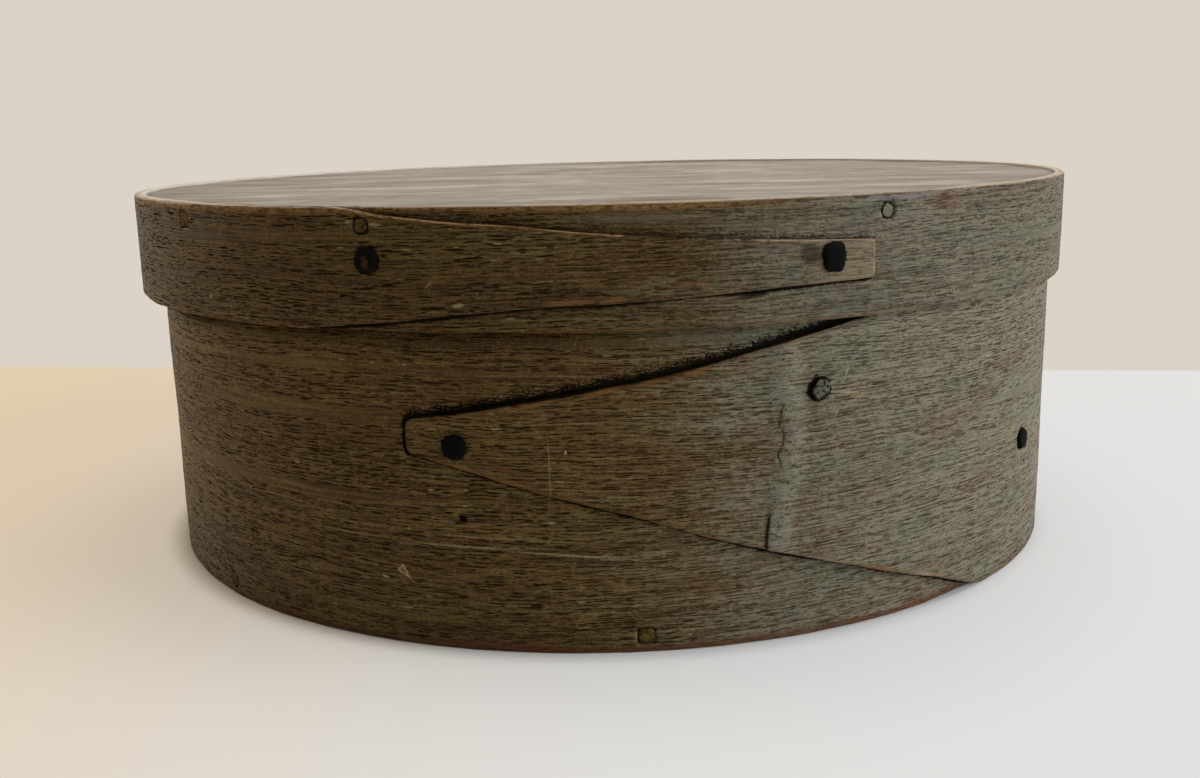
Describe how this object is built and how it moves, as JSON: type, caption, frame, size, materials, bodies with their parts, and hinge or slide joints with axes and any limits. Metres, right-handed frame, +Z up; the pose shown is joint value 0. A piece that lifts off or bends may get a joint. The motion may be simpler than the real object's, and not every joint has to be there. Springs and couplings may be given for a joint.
{
  "type": "round pantry box",
  "caption": "Round bentwood box with a lift-off lid: lapped oak bands with tapered tacked fingers round pegged pine boards, for keeping dry goods.",
  "frame": {"origin": "middle of the underside of the base", "axes": "+Z up along the box's axis and the way the lid lifts, the front with the fingers faces -Y, +X to the right"},
  "size_m": [0.2102, 0.2116, 0.0783],
  "materials": {
    "painted_oak": "worn grey-green paint over brown oak",
    "aged_pine": "bare grey-brown pine, dull with age",
    "iron": "black hand-made iron",
    "painted_iron": "iron painted over with the band",
    "peg_wood": "end grain under worn paint"
  },
  "bodies": {
    "base": {"base_band": "painted_oak", "bottom_board": "aged_pine", "base_tip_tack": "iron", "base_middle_tack": "painted_iron", "base_root_tack": "iron", "bottom_peg_1": "peg_wood", "bottom_peg_2": "peg_wood", "bottom_peg_3": "peg_wood", "bottom_peg_4": "peg_wood", "bottom_peg_5": "peg_wood", "bottom_peg_6": "peg_wood", "bottom_peg_7": "peg_wood"},
    "lid": {"lid_band": "painted_oak", "top_board": "aged_pine", "lid_tip_tack": "iron", "lid_heel_tack": "iron", "lid_peg_1": "peg_wood", "lid_peg_2": "peg_wood", "lid_peg_3": "peg_wood", "lid_peg_4": "peg_wood", "lid_peg_5": "peg_wood", "lid_peg_6": "peg_wood", "lid_peg_7": "peg_wood", "lid_peg_8": "peg_wood"}
  },
  "joints": [
    {"name": "lid_lift", "type": "slide", "parent": "base", "child": "lid", "axis": [0, 0, 1], "range_m": [0, 0.06]}
  ]
}
